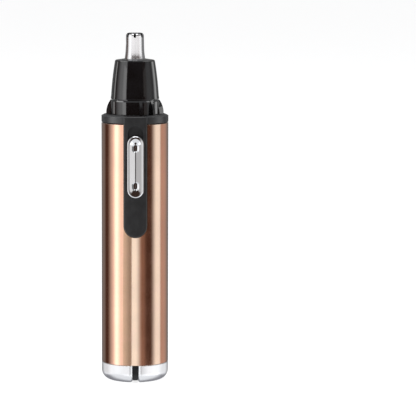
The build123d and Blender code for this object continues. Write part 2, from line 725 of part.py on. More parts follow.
with BuildPart() as head_cone:
    with BuildSketch(Plane.XZ):
        with BuildLine():
            foot = (CONE_R, CONE_LOW + CONE_SKIRT[1])
            flank = ThreePointArc(foot, CONE_MID, (CONE_TOP_R, CONE_HIGH))
            Polyline(
                flank @ 1,
                (CUTTER_R + 0.05, CONE_HIGH + CONE_DOME),
                (CUTTER_R + 0.05, CUTTER_FLANGE_HIGH + 0.05),
                (CONE_BORE_R, CUTTER_FLANGE_HIGH + 0.05),
                (CONE_BORE_R, 124.0),
                (SPIGOT_R + 0.01, SOCKET_HIGH + 0.2),
                (SPIGOT_R + 0.01, CONE_LOW),
                (CONE_R + CONE_SKIRT[0], CONE_LOW),
                foot,
            )
        make_face()
    revolve(axis=Axis.Z)
    rims = head_cone.edges().filter_by(GeomType.CIRCLE)
    fillet([rim for rim in rims if abs((rim @ 0).Z - CONE_HIGH) < 0.01], 0.7)
    low_rims = head_cone.edges().filter_by(GeomType.CIRCLE).group_by(Axis.Z)[0]
    fillet(low_rims.sort_by(SortBy.RADIUS)[-1], 0.15)
finish(head_cone, "head_cone")

TUBE_BORE_R = 3.0
TIP_R = 3.55
SLOTS = 7
SLOT_TURN = -1.5
SLOT_WIDTH = 0.9
SLOT_LOW = 137.65
TIP_WALL = 0.55
TIP_CORNER_R = 1.25
with BuildPart() as outer_cutter:
    with BuildSketch(Plane.XZ):
        with BuildLine():
            flare = Spline(
                (CUTTER_R, 129.4),
                (3.75, 132.0),
                (TIP_R + 0.04, 137.0),
                tangents=((-0.2, 1), (-0.02, 1)),
            )
            Polyline(
                flare @ 1,
                (TIP_R, TOTAL_HEIGHT),
                (0, TOTAL_HEIGHT),
                (0, TOTAL_HEIGHT - TIP_WALL),
                (TUBE_BORE_R, TOTAL_HEIGHT - TIP_WALL),
                (TUBE_BORE_R, CUTTER_FLANGE_LOW),
                (CUTTER_FLANGE_R, CUTTER_FLANGE_LOW),
                (CUTTER_FLANGE_R, CUTTER_FLANGE_HIGH),
                (CUTTER_R, CUTTER_FLANGE_HIGH),
                flare @ 0,
            )
        make_face()
    revolve(axis=Axis.Z)
    tip_rim = outer_cutter.edges().filter_by(GeomType.CIRCLE).sort_by(Axis.Z)[-1]
    fillet(tip_rim, TIP_CORNER_R)
    for n in range(SLOTS):
        with BuildSketch(facing_plane(FRONT + SLOT_TURN + n * 360 / SLOTS, 1.7)):
            with Locations((0, SLOT_LOW + SLOT_WIDTH / 2)):
                Circle(SLOT_WIDTH / 2)
                Rectangle(SLOT_WIDTH, 4, align=(Align.CENTER, Align.MIN))
        extrude(amount=4, mode=Mode.SUBTRACT)
finish(outer_cutter, "outer_cutter")

RETAINER_Z = (125.2, CUTTER_FLANGE_LOW - 0.05)
with BuildPart() as cutter_retainer:
    disc(CONE_BORE_R - 0.02, *RETAINER_Z)
    disc(3.3, *RETAINER_Z, mode=Mode.SUBTRACT)
finish(cutter_retainer, "cutter_retainer")

WASHER_Z = (HUB_Z[1] + 0.05, HUB_Z[1] + 0.55)
with BuildPart() as thrust_washer:
    disc(3.4, *WASHER_Z)
    disc(2.0, *WASHER_Z, mode=Mode.SUBTRACT)
finish(thrust_washer, "thrust_washer")

# ---------------------------------------------------------------- spinning cutter
CUTTER_BASE = 127.0
STEM_R = 1.8
PIN_R = 1.2
SPRING_STOP_Z = (124.9, 125.9)
with BuildPart() as cutter_shaft:
    block(
        (-TONGUE_WIDTH / 2, TONGUE_WIDTH / 2),
        (-TONGUE_THICK / 2, TONGUE_THICK / 2),
        (TONGUE_LOW, TONGUE_LOW + 3.2),
    )
    disc(STEM_R, TONGUE_LOW + 3.0, CUTTER_BASE)
    disc(2.9, *SPRING_STOP_Z)
    disc(PIN_R, CUTTER_BASE, CUTTER_BASE + 2.5)
finish(cutter_shaft, "cutter_shaft")

BLADE_R = 2.93
BLADE_HIGH = 139.0
BLADE_WALL = 0.55
BLADE_NOTCH = (2.2, 5.0)  # how wide, and how deep
with BuildPart() as inner_cutter:
    disc(BLADE_R, CUTTER_BASE, BLADE_HIGH)
    disc(BLADE_R - BLADE_WALL, CUTTER_BASE + 1.0, BLADE_HIGH, mode=Mode.SUBTRACT)
    disc(PIN_R, CUTTER_BASE, CUTTER_BASE + 1.0, mode=Mode.SUBTRACT)
    for angle in (30, 120):
        with Locations(Location((0, 0, BLADE_HIGH), (0, 0, angle))):
            Box(2 * OUT, BLADE_NOTCH[0], 2 * BLADE_NOTCH[1], mode=Mode.SUBTRACT)
finish(inner_cutter, "inner_cutter")

with BuildPart() as cutter_spring:
    coil_spring(0.22, 2.35, WASHER_Z[1] + 0.03, SPRING_STOP_Z[0] - 0.03, 5)
finish(cutter_spring, "cutter_spring")

# ---------------------------------------------------------------- cell and its contacts
with BuildPart() as cell_can:
    disc(CELL_R, CELL_LOW, CELL_HIGH)
    fillet(cell_can.edges().filter_by(GeomType.CIRCLE), 0.6)
finish(cell_can, "cell_can")

BUTTON_R = 2.75
BUTTON_HEIGHT = 1.3
with BuildPart() as cell_positive_cap:
    disc(BUTTON_R, CELL_HIGH, CELL_HIGH + BUTTON_HEIGHT)
    fillet(cell_positive_cap.edges().filter_by(GeomType.CIRCLE).sort_by(Axis.Z)[-1], 0.3)
finish(cell_positive_cap, "cell_positive_cap")

POSITIVE_LOW = 66.1
POSITIVE_HALF = 4.0
with BuildPart() as positive_contact:
    plate_z = (POSITIVE_LOW, POSITIVE_LOW + STRIP)
    block((-POSITIVE_HALF, POSITIVE_HALF), (STRIP_FACE, POSITIVE_HALF), plate_z)
    block((-3.6, -0.8), (STRIP_FACE, BASE_FACE), (plate_z[1], 95.0))
finish(positive_contact, "positive_contact")

FOOT_LOW = 14.95
NEGATIVE_X = (-1.5, 1.5)
NEGATIVE_Y = (8.6, 8.6 + STRIP)
with BuildPart() as negative_strip:
    block(NEGATIVE_X, NEGATIVE_Y, (FOOT_LOW, BRUSH_PIN_LOW - STRIP))
    block(NEGATIVE_X, (NEGATIVE_Y[1], 10.8), (FOOT_LOW, FOOT_LOW + STRIP))
    block(
        (NEGATIVE_X[0], BRUSH_PIN_X[1]),
        (BRUSH_PIN_Y[0], NEGATIVE_Y[1]),
        (BRUSH_PIN_LOW - STRIP, BRUSH_PIN_LOW),
    )
finish(negative_strip, "negative_strip")

# ---------------------------------------------------------------- bottom cap
PLUG_R = 11.4
PLUG_HIGH = 14.6
PLUG_FLANGE_R = 12.6
PLUG_FLANGE = 0.4
PLUG_GAP = 0.02
TONGUE_GAP = 0.03
CUP_R = 8.9
CUP_FLOOR = 8.6
CAP_LUG_R = 12.1
CAP_LUG_Z = (11.6, 13.2)
def slot_outline(half):
    """The cap's front slot seen from below: open at the wall, with a round inner end."""
    with BuildSketch(Plane.XY.offset(-1)) as outline:
        with Locations((0, -CAP_SLOT_END)):
            Circle(half)
            Rectangle(2 * half, OUT, align=(Align.CENTER, Align.MAX))
    return outline.sketch


def is_slot_lip(edge):
    """Whether an edge of the cap runs along a lip of its slot, on the outer skin."""
    middle = edge @ 0.5
    reach = max(hypot(middle.X, middle.Y) - (CAP_R - CAP_CORNER_R), 0)
    drop = max(CAP_CORNER_R - middle.Z, 0)
    on_skin = hypot(reach, drop) > CAP_CORNER_R - 0.1
    aside = abs(middle.X)
    if middle.Y > -CAP_SLOT_END:
        aside = hypot(middle.X, middle.Y + CAP_SLOT_END)
    beside_slot = abs(aside - CAP_SLOT_WIDTH / 2) < 0.01
    return beside_slot and on_skin and middle.Z < CAP_HIGH - 0.1


with BuildPart() as bottom_cap:
    with BuildSketch(Plane.XZ):
        with BuildLine():
            flat = Line((0, 0), (CAP_R - CAP_CORNER_R, 0))
            corner = RadiusArc(flat @ 1, (CAP_R, CAP_CORNER_R), -CAP_CORNER_R)
            Polyline(
                corner @ 1,
                (CAP_R, CAP_HIGH - CAP_BEVEL),
                (CAP_R - CAP_BEVEL, CAP_HIGH),
                (CAP_CAVITY_R, CAP_HIGH),
                (CAP_CAVITY_R, CAP_FLOOR),
                (0, CAP_FLOOR),
                (0, 0),
            )
        make_face()
    revolve(axis=Axis.Z)
    extrude(slot_outline(CAP_SLOT_WIDTH / 2), amount=CAP_HIGH + 2, mode=Mode.SUBTRACT)
    fillet(bottom_cap.edges().filter_by(is_slot_lip), CAP_SLOT_LIP)
finish(bottom_cap, "bottom_cap")

with BuildPart() as slot_filling:
    # The part of a smaller cap that shows, set back, in the slot of the cap's shell.
    disc(CAP_R - CAP_SLOT_DEPTH, CAP_SLOT_DEPTH, CAP_HIGH)
    inset_rim = slot_filling.edges().filter_by(GeomType.CIRCLE).sort_by(Axis.Z)[0]
    fillet(inset_rim, CAP_CORNER_R - CAP_SLOT_DEPTH)
    extrude(slot_outline(CAP_SLOT_WIDTH / 2 - TONGUE_GAP), amount=OUT, mode=Mode.INTERSECT)

with BuildPart() as cap_plug:
    disc(CAP_CAVITY_R - PLUG_GAP, CAP_FLOOR + PLUG_GAP, CAP_HIGH)
    add(slot_filling.part)
    disc(PLUG_FLANGE_R, CAP_HIGH, CAP_HIGH + PLUG_FLANGE)
    disc(PLUG_R, CAP_HIGH + PLUG_FLANGE, PLUG_HIGH)
    disc(CUP_R, CUP_FLOOR, PLUG_HIGH, mode=Mode.SUBTRACT)
    for middle in (FRONT, FRONT + 180):
        sector(PLUG_R - 0.2, CAP_LUG_R, *CAP_LUG_Z, middle, CAP_LUG_SPAN)
finish(cap_plug, "cap_plug")

SEAL_WIRE_R = 0.6
with BuildPart() as cap_seal:
    with Locations((0, 0, CAP_HIGH + PLUG_FLANGE + SEAL_WIRE_R + 0.05)):
        Torus(PLUG_R + SEAL_WIRE_R + 0.03, SEAL_WIRE_R)
finish(cap_seal, "cap_seal")

with BuildPart() as cap_contact:
    cup_r = CUP_R - 0.05
    turned(
        (0, CUP_FLOOR),
        (cup_r, CUP_FLOOR),
        (cup_r, PLUG_HIGH),
        (PLUG_R - 0.2, PLUG_HIGH),
        (PLUG_R - 0.2, PLUG_HIGH + STRIP),
        (cup_r - STRIP, PLUG_HIGH + STRIP),
        (cup_r - STRIP, CUP_FLOOR + STRIP),
        (0, CUP_FLOOR + STRIP),
    )
finish(cap_contact, "cap_contact")

with BuildPart() as cell_spring:
    coil_spring(0.4, 6.2, CUP_FLOOR + STRIP, CELL_LOW - 0.05, 4, cone_angle=-22)
finish(cell_spring, "cell_spring")

BAYONET_LOW = 9.1
BAYONET_HIGH = 16.4
BAYONET_BORE_R = CAP_LUG_R + 0.1
with BuildPart() as bayonet_ring:
    disc(BARREL_BORE_R - 0.05, BAYONET_LOW, BAYONET_HIGH)
    disc(BAYONET_BORE_R, BAYONET_LOW, BAYONET_HIGH, mode=Mode.SUBTRACT)
    # Each stop fills the angles that the cap's two lugs never sweep.
    free_span = CAP_LUG_SPAN + CAP_TWIST + 2
    for middle in (FRONT, FRONT + 180):
        stop_span = 180 - free_span
        stop_middle = middle + (CAP_LUG_SPAN / 2 + 1) + stop_span / 2
        sector(
            PLUG_R + 0.1, BAYONET_BORE_R + 0.1, 10.0, BAYONET_HIGH, stop_middle, stop_span
        )
finish(bayonet_ring, "bayonet_ring")
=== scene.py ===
"""The looks of a battery nose hair trimmer: materials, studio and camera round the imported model."""
import json
import math

import bpy
from mathutils import Matrix, Vector


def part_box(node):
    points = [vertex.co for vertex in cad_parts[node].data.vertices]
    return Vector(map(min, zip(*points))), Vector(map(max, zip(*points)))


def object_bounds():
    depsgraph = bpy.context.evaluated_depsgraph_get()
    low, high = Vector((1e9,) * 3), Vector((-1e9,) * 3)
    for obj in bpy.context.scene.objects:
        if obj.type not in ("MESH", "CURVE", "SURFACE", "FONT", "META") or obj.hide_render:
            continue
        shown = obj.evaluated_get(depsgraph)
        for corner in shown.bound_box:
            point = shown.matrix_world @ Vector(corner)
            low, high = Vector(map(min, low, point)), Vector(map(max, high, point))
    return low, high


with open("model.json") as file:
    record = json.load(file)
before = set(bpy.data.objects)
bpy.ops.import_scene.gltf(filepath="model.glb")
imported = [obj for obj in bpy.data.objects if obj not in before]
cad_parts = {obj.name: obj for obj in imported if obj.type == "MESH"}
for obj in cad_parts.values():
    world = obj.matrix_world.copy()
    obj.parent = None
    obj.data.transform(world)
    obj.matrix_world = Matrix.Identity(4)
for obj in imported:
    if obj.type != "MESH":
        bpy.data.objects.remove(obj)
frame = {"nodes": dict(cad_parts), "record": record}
cad_low, cad_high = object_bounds()

MM = 0.001
PER_MM = 1000.0  # turns a place in metres into millimetres inside a material


# ---------------------------------------------------------------- node tree helpers
class Tree:
    """A node tree with short ways to add the nodes that the materials here need."""

    def __init__(self, tree):
        self.tree = tree
        self.nodes = tree.nodes
        self.nodes.clear()

    def add(self, kind, inputs=None, **settings):
        """A new node with its settings, and its sockets set or linked by name or number."""
        node = self.nodes.new(kind)
        for key, value in settings.items():
            setattr(node, key, value)
        for key, value in (inputs or {}).items():
            self.put(node.inputs[key], value)
        return node

    def put(self, socket, value):
        """Sets a socket, or links it if the value is another node's output."""
        if isinstance(value, bpy.types.NodeSocket):
            self.tree.links.new(value, socket)
        else:
            socket.default_value = value

    def math(self, operation, a, b=0.0):
        """One step of arithmetic on numbers or other nodes' outputs."""
        return self.add("ShaderNodeMath", {0: a, 1: b}, operation=operation).outputs[0]

    def remap(self, value, low, high, to_low=0.0, to_high=1.0):
        """The value eased from one range to another and held inside it."""
        inputs = dict(enumerate((value, low, high, to_low, to_high)))
        return self.add("ShaderNodeMapRange", inputs, interpolation_type="SMOOTHSTEP").outputs[0]

    def mix(self, factor, a, b, blend="MIX"):
        """Two colours mixed by a factor."""
        node = self.add("ShaderNodeMix", data_type="RGBA", blend_type=blend)
        self.put(node.inputs[0], factor)
        self.put(node.inputs[6], a)
        self.put(node.inputs[7], b)
        return node.outputs[2]

    def ramp(self, factor, stops):
        """A colour ramp that eases through (place, colour) stops."""
        node = self.add("ShaderNodeValToRGB", {0: factor})
        band = node.color_ramp
        band.interpolation = "EASE"
        while len(band.elements) < len(stops):
            band.elements.new(1.0)
        for element, (place, colour) in zip(band.elements, stops):
            element.position = place
            element.color = colour
        return node.outputs[0]


class Finish(Tree):
    """A Principled material whose patterns are measured in millimetres in the row frame."""

    def __init__(self, name):
        self.material = bpy.data.materials.new(name)
        self.material.use_nodes = True
        super().__init__(self.material.node_tree)
        self.output = self.add("ShaderNodeOutputMaterial")
        self.shader = self.add("ShaderNodeBsdfPrincipled")
        self.tree.links.new(self.shader.outputs[0], self.output.inputs[0])
        place = self.add("ShaderNodeTexCoord").outputs["Object"]
        scaled = self.add("ShaderNodeVectorMath", {0: place}, operation="SCALE")
        scaled.inputs["Scale"].default_value = PER_MM
        self.place = scaled.outputs[0]
        split = self.add("ShaderNodeSeparateXYZ", {0: self.place})
        self.x, self.y, self.z = split.outputs
        self.radius = self.math("SQRT", self.math("ADD", self.math("MULTIPLY", self.x, self.x),
                                                  self.math("MULTIPLY", self.y, self.y)))
        self.bumps = []

    def polar(self, turns_scale=1.0, rise_scale=1.0):
        """A place on a turned part as (angle, radius, height), stretched for lines."""
        angle = self.math("ARCTAN2", self.x, self.y)
        node = self.add("ShaderNodeCombineXYZ")
        self.put(node.inputs[0], self.math("MULTIPLY", angle, turns_scale))
        self.put(node.inputs[1], self.radius)
        self.put(node.inputs[2], self.math("MULTIPLY", self.z, rise_scale))
        return node.outputs[0]

    def noise(self, scale, detail=3.0, rough=0.55, where=None, stretch=None):
        """Noise with features of about 1 / scale millimetres."""
        where = where or self.place
        if stretch:
            where = self.add(
                "ShaderNodeVectorMath", {0: where, 1: stretch}, operation="MULTIPLY"
            ).outputs[0]
        node = self.add("ShaderNodeTexNoise", {"Vector": where})
        node.inputs["Scale"].default_value = scale
        node.inputs["Detail"].default_value = detail
        node.inputs["Roughness"].default_value = rough
        return node.outputs[0]

    def cells(self, scale):
        """Small rounded cells, as in a spark-eroded mould."""
        node = self.add("ShaderNodeTexVoronoi", {"Vector": self.place})
        node.inputs["Scale"].default_value = scale
        return node.outputs["Distance"]

    def edges(self, radius):
        """1 on edges and 0 on flat stretches, from how far a small bevel turns the normal."""
        bevel = self.add("ShaderNodeBevel", samples=6)
        bevel.inputs["Radius"].default_value = radius * MM
        normal = self.add("ShaderNodeNewGeometry").outputs["Normal"]
        dot = self.add(
            "ShaderNodeVectorMath", {0: bevel.outputs[0], 1: normal}, operation="DOT_PRODUCT"
        )
        return self.remap(dot.outputs["Value"], 0.995, 0.86)

    def crevice_shade(self, distance):
        """A mask for painted shade, read from ambient occlusion: 1 deep in grooves and 0 in the open.
        """
        node = self.add("ShaderNodeAmbientOcclusion", samples=8, only_local=True)
        node.inputs["Distance"].default_value = distance * MM
        return self.remap(node.outputs["AO"], 0.75, 0.3)

    def bump(self, height, depth):
        """Adds a height pattern, with its depth in millimetres."""
        node = self.add("ShaderNodeBump", {"Height": height})
        node.inputs["Strength"].default_value = 1.0
        node.inputs["Distance"].default_value = depth * MM
        if self.bumps:
            self.tree.links.new(self.bumps[-1].outputs[0], node.inputs["Normal"])
        self.bumps.append(node)

    def done(self, colour, roughness, **fixed):
        """Joins the patterns to the shader; the fixed values go straight on its sockets."""
        self.put(self.shader.inputs["Base Color"], colour)
        self.put(self.shader.inputs["Roughness"], roughness)
        for key, value in fixed.items():
            self.shader.inputs[key.replace("_", " ")].default_value = value
        if self.bumps:
            self.tree.links.new(self.bumps[-1].outputs[0], self.shader.inputs["Normal"])
        return self.material


def tint(colour, factor):
    """A colour made lighter or darker, as a node socket's value."""
    return tuple(min(1.0, c * factor) for c in colour) + (1.0,)


# ---------------------------------------------------------------- materials
def anodised_tube(name, colour):
    """Polished, dyed aluminium: fine turned lines, faint clouding, pale worn edges."""
    f = Finish(name)
    cloud = f.noise(0.07, 4)
    warm = f.noise(0.22, 3)
    lines = f.noise(1.0, 4, 0.7, where=f.polar(0.6, 26.0))
    base = f.mix(f.remap(cloud, 0.3, 0.7), tint(colour, 0.94), tint(colour, 1.05))
    pink = (colour[0], colour[1] * 0.93, colour[2] * 1.04)
    base = f.mix(f.math("MULTIPLY", f.remap(warm, 0.45, 0.7), 0.35), base, tint(pink, 1.0))
    base = f.mix(f.remap(lines, 0.3, 0.75, 0.0, 0.12), base, tint(colour, 0.72))
    bare = (0.93, 0.80, 0.70, 1.0)
    worn = f.math("MULTIPLY", f.edges(0.22), f.remap(f.noise(1.3, 4), 0.25, 0.5, 0.55, 1.0))
    base = f.mix(worn, base, bare)
    smudge = f.remap(f.noise(0.11, 5, 0.62), 0.42, 0.72)
    rough = f.math("ADD", f.remap(lines, 0.2, 0.8, 0.105, 0.16), f.math("MULTIPLY", smudge, 0.035))
    f.bump(lines, 0.0012)
    return f.done(base, rough, Metallic=1.0, Coat_Weight=1.0, Coat_Roughness=0.06, Coat_IOR=1.85)


def gloss_black(name):
    """Glossy moulded plastic: faint orange peel, wiping marks and fine scratches."""
    f = Finish(name)
    depth = f.remap(f.noise(0.12, 3), 0.3, 0.7)
    base = f.mix(depth, (0.0035, 0.0035, 0.004, 1), (0.007, 0.007, 0.008, 1))
    dust = f.remap(f.noise(2.6, 2, 0.5), 0.72, 0.8, 0.0, 0.12)
    base = f.mix(dust, base, (0.12, 0.12, 0.12, 1))
    base = f.mix(f.math("MULTIPLY", f.edges(0.2), 0.3), base, (0.07, 0.07, 0.075, 1))
    wipe = f.remap(f.noise(0.25, 5, 0.6, stretch=(1.0, 1.0, 0.35)), 0.4, 0.75, 0.0, 0.07)
    scratch = f.remap(f.noise(1.4, 3, 0.7, where=f.polar(3.0, 9.0)), 0.62, 0.7, 0.0, 0.05)
    rough = f.math("ADD", f.math("ADD", wipe, 0.07), scratch)
    f.bump(f.noise(0.75, 2), 0.006)
    return f.done(base, rough, IOR=1.62, Coat_Weight=0.5, Coat_Roughness=0.04, Coat_IOR=1.55)


def satin_black(name, grain=7.0, level=0.022, roughness=0.36):
    """Spark-eroded satin plastic: an even fine grain, polished a little on its edges."""
    f = Finish(name)
    fine = f.cells(grain)
    blotch = f.noise(0.3, 4)
    dark = (level * 0.8, level * 0.81, level * 0.86, 1)
    light = (level * 1.25, level * 1.27, level * 1.33, 1)
    base = f.mix(f.remap(blotch, 0.3, 0.7), dark, light)
    base = f.mix(f.remap(fine, 0.0, 0.6, 0.0, 0.25), base, (level * 2.2, level * 2.2, level * 2.3, 1))
    edge = f.edges(0.35)
    base = f.mix(f.math("MULTIPLY", edge, 0.55), base, (0.11, 0.115, 0.12, 1))
    rough = f.remap(blotch, 0.3, 0.7, roughness - 0.03, roughness + 0.04)
    rough = f.math("SUBTRACT", rough, f.math("MULTIPLY", edge, 0.1))
    f.bump(fine, 0.004)
    f.bump(f.noise(0.5, 2), 0.01)
    return f.done(base, rough, IOR=1.52)


def chrome(name, level=0.86, roughness=0.07, reach=0.7):
    """Bright plating: wiping marks, hairline scratches and uneven painted shade in its grooves and
    recesses.
    """
    f = Finish(name)
    tone = f.noise(0.15, 3)
    base = f.mix(
        f.remap(tone, 0.3, 0.7),
        (level * 0.97, level * 0.98, level, 1),
        (level * 1.02, level * 1.03, level * 1.05, 1),
    )
    # Painted shade: ambient occlusion darkens the plating in grooves and recesses, such as the knob's
    # groove, and roughens it there.
    painted_groove_shade = f.math("MULTIPLY", f.crevice_shade(reach), f.remap(f.noise(1.1, 4), 0.2, 0.6, 0.8, 1.0))
    base = f.mix(painted_groove_shade, base, (0.03, 0.03, 0.033, 1))
    scratch = f.remap(f.noise(2.2, 2, 0.6, stretch=(1.0, 1.0, 0.12)), 0.6, 0.72, 0.0, 0.04)
    smudge = f.remap(f.noise(0.35, 5, 0.6), 0.4, 0.75, 0.0, 0.07)
    rough = f.math("ADD", f.math("ADD", smudge, roughness), scratch)
    rough = f.math("ADD", rough, f.math("MULTIPLY", painted_groove_shade, 0.4))
    f.bump(f.noise(0.6, 2), 0.004)
    return f.done(base, rough, Metallic=1.0)


DARK_EDGE = 0.1  # how wide the soft border of the painted shade in the steel is, in millimetres


def turned_steel(name, level=0.8, roughness=0.2, inside=None):
    """Stainless steel polished on a lathe: fine rings, with burnished edges.

    Inside is a radius and a height in millimetres. Painted shade makes the steel dark inside that
    radius and below that height, as in the nozzle's slots and bore, which lie in shade.
    """
    f = Finish(name)
    rings = f.noise(1.0, 4, 0.75, where=f.polar(0.8, 22.0))
    base = f.mix(
        f.remap(rings, 0.25, 0.8),
        (level * 0.9, level * 0.9, level * 0.92, 1),
        (level * 1.06, level * 1.06, level * 1.07, 1),
    )
    base = f.mix(f.math("MULTIPLY", f.edges(0.15), 0.5), base, (0.95, 0.95, 0.96, 1))
    # Painted shade: ambient occlusion darkens the steel in its grooves.
    base = f.mix(f.crevice_shade(0.6), base, (0.02, 0.02, 0.022, 1))
    # Painted shade: near black inside the radius and below the height, where the slots and bore are
    # shaded.
    if inside:
        skin, top = inside
        nearer = f.remap(f.radius, skin, skin - DARK_EDGE)
        lower = f.remap(f.z, top, top - DARK_EDGE)
        base = f.mix(f.math("MULTIPLY", nearer, lower), base, (0.004, 0.004, 0.005, 1))
    rough = f.remap(rings, 0.2, 0.8, roughness - 0.05, roughness + 0.06)
    f.bump(rings, 0.0015)
    return f.done(base, rough, Metallic=1.0)


def plated(name, colour, roughness=0.3, grain=1.2):
    """Zinc, nickel or bronze parts: mottled plating with small pits and bright edges."""
    f = Finish(name)
    mottle = f.noise(grain, 5, 0.6)
    base = f.mix(f.remap(mottle, 0.3, 0.7), tint(colour, 0.82), tint(colour, 1.1))
    pits = f.remap(f.noise(grain * 6, 2), 0.66, 0.74)
    base = f.mix(pits, base, tint(colour, 0.45))
    base = f.mix(f.math("MULTIPLY", f.edges(0.12), 0.6), base, tint(colour, 1.3))
    rough = f.remap(mottle, 0.2, 0.8, roughness - 0.07, roughness + 0.1)
    f.bump(f.math("MULTIPLY", pits, -1.0), 0.006)
    return f.done(base, rough, Metallic=1.0)


def moulded(name, colour, roughness=0.45):
    """Plain moulded plastic inside the body: flow marks, fine grain, paler edges and painted shade in
    its recesses.
    """
    f = Finish(name)
    flow = f.noise(0.35, 4, 0.6, stretch=(1.0, 1.0, 0.4))
    base = f.mix(f.remap(flow, 0.3, 0.7), tint(colour, 0.88), tint(colour, 1.08))
    base = f.mix(f.math("MULTIPLY", f.edges(0.15), 0.4), base, tint(colour, 1.5))
    # Painted shade: ambient occlusion darkens the plastic in its recesses.
    base = f.mix(f.math("MULTIPLY", f.crevice_shade(1.0), 0.4), base, tint(colour, 0.5))
    rough = f.remap(f.noise(0.8, 4), 0.2, 0.8, roughness - 0.06, roughness + 0.08)
    f.bump(f.cells(5.0), 0.006)
    return f.done(base, rough, IOR=1.5)


def rubber(name):
    """Nitrile rubber: matt, a little bloomed, with a rolled sheen."""
    f = Finish(name)
    bloom = f.remap(f.noise(0.9, 5, 0.65), 0.35, 0.75)
    base = f.mix(bloom, (0.014, 0.014, 0.014, 1), (0.035, 0.035, 0.037, 1))
    rough = f.remap(bloom, 0.0, 1.0, 0.5, 0.68)
    f.bump(f.noise(6.0, 3), 0.008)
    return f.done(base, rough, Sheen_Weight=0.1)


def banded(name, dark, light, pitch, roughness=0.35, depth=0.03):
    """Thin layers one on another up the axis: stacked laminations or close-wound wire."""
    f = Finish(name)
    wave = f.add("ShaderNodeTexWave", {"Vector": f.place}, bands_direction="Z")
    wave.inputs["Scale"].default_value = 0.314 / pitch
    wave.inputs["Distortion"].default_value = 0.15
    layer = wave.outputs["Fac"]
    base = f.mix(f.remap(layer, 0.1, 0.6), dark + (1.0,), light + (1.0,))
    base = f.mix(f.remap(f.noise(0.8, 4), 0.4, 0.7, 0.0, 0.4), base, tint(light, 0.7))
    rough = f.remap(layer, 0.0, 1.0, roughness + 0.15, roughness)
    f.bump(layer, depth)
    return f.done(base, rough, Metallic=1.0)


def shrink_sleeve(name):
    """The cell's shrink sleeve: glossy film with a plain band and fine wrinkles."""
    f = Finish(name)
    low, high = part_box("cell_can")
    height = (high.z - low.z) * PER_MM
    share = f.math("DIVIDE", f.math("SUBTRACT", f.z, low.z * PER_MM), height)
    band = f.remap(share, 0.78, 0.785)
    base = f.mix(band, (0.42, 0.43, 0.44, 1), (0.05, 0.16, 0.10, 1))
    base = f.mix(f.remap(f.noise(0.5, 4), 0.35, 0.7, 0.0, 0.2), base, (0.2, 0.2, 0.2, 1))
    rim = f.math("MAXIMUM", f.remap(share, 0.02, 0.012), f.remap(share, 0.98, 0.988))
    base = f.mix(rim, base, (0.55, 0.54, 0.5, 1))
    wrinkle = f.noise(1.0, 3, 0.6, where=f.polar(14.0, 0.5))
    rough = f.remap(wrinkle, 0.3, 0.7, 0.2, 0.32)
    f.bump(wrinkle, 0.012)
    return f.done(base, rough, Coat_Weight=0.4, Coat_Roughness=0.1)


TOP = cad_high.z * PER_MM
SLOT_R = 3.3  # part way through the wall of the nozzle's tip; painted shade darkens the cutter's steel inside it
BLADE_R = 4.0  # wider than the spinning blade, which painted shade makes dark all over
COPPER = (0.80, 0.435, 0.29)
NICKEL = (0.66, 0.64, 0.58)
BRONZE = (0.55, 0.36, 0.17)
ZINC = (0.55, 0.56, 0.58)
FINISHES = {
    "copper_barrel": anodised_tube("copper_barrel_finish", COPPER),
    "collar_black": satin_black("collar_finish", 7.0, 0.02, 0.3),
    "panel_black": satin_black("panel_finish", 8.0, 0.016, 0.34),
    "head_black": gloss_black("head_finish"),
    "knob_chrome": chrome("knob_finish", 0.8, 0.1, 0.45),
    "cap_chrome": chrome("cap_finish", 0.88, 0.28),
    # Painted shade darkens the cutter's steel inside SLOT_R and below its top, for its slots and
    # bore.
    "cutter_steel": turned_steel("cutter_finish", 0.9, 0.2, (SLOT_R, TOP - 0.06)),
    # Painted shade: the blade is given dark steel, painted near black inside BLADE_R, for the shade
    # inside the nozzle.
    "blade_steel": turned_steel("blade_finish", 0.1, 0.4, (BLADE_R, TOP)),
    "chassis_grey": moulded("chassis_finish", (0.10, 0.10, 0.108)),
    "neck_black": moulded("neck_finish", (0.006, 0.006, 0.007), 0.5),
    "nylon_white": moulded("nylon_finish", (0.62, 0.60, 0.53), 0.42),
    "seal_rubber": rubber("seal_finish"),
    "screw_steel": plated("screw_finish", ZINC, 0.28),
    "spring_steel": plated("spring_finish", NICKEL, 0.24, 2.0),
    "contact_nickel": plated("contact_finish", NICKEL, 0.26),
    "motor_zinc": plated("motor_finish", ZINC, 0.3),
    "magnet_ferrite": plated("magnet_finish", (0.09, 0.085, 0.085), 0.6, 2.5),
    "bush_bronze": plated("bush_finish", BRONZE, 0.45, 3.0),
    "brush_bronze": plated("brush_finish", BRONZE, 0.3),
    "commutator_copper": plated("commutator_finish", (0.72, 0.36, 0.2), 0.25, 2.0),
    "winding_copper": banded("winding_finish", (0.2, 0.05, 0.02), (0.62, 0.24, 0.1), 0.32),
    "lamination_steel": banded("lamination_finish", (0.1, 0.1, 0.1), (0.4, 0.4, 0.42), 0.5),
    "shaft_steel": turned_steel("shaft_finish", 0.6, 0.22),
    "cell_wrap": shrink_sleeve("cell_finish"),
    "cell_nickel": plated("cell_cap_finish", NICKEL, 0.22),
}
slot_of = {row["node"]: row["material_slot"] for row in frame["record"]["subparts"]}
for node, piece in frame["nodes"].items():
    piece.data.materials.clear()
    piece.data.materials.append(FINISHES[slot_of[node]])


# ---------------------------------------------------------------- floor
FLOOR_GLOW = 0.76
FLOOR_REACH = 30.0


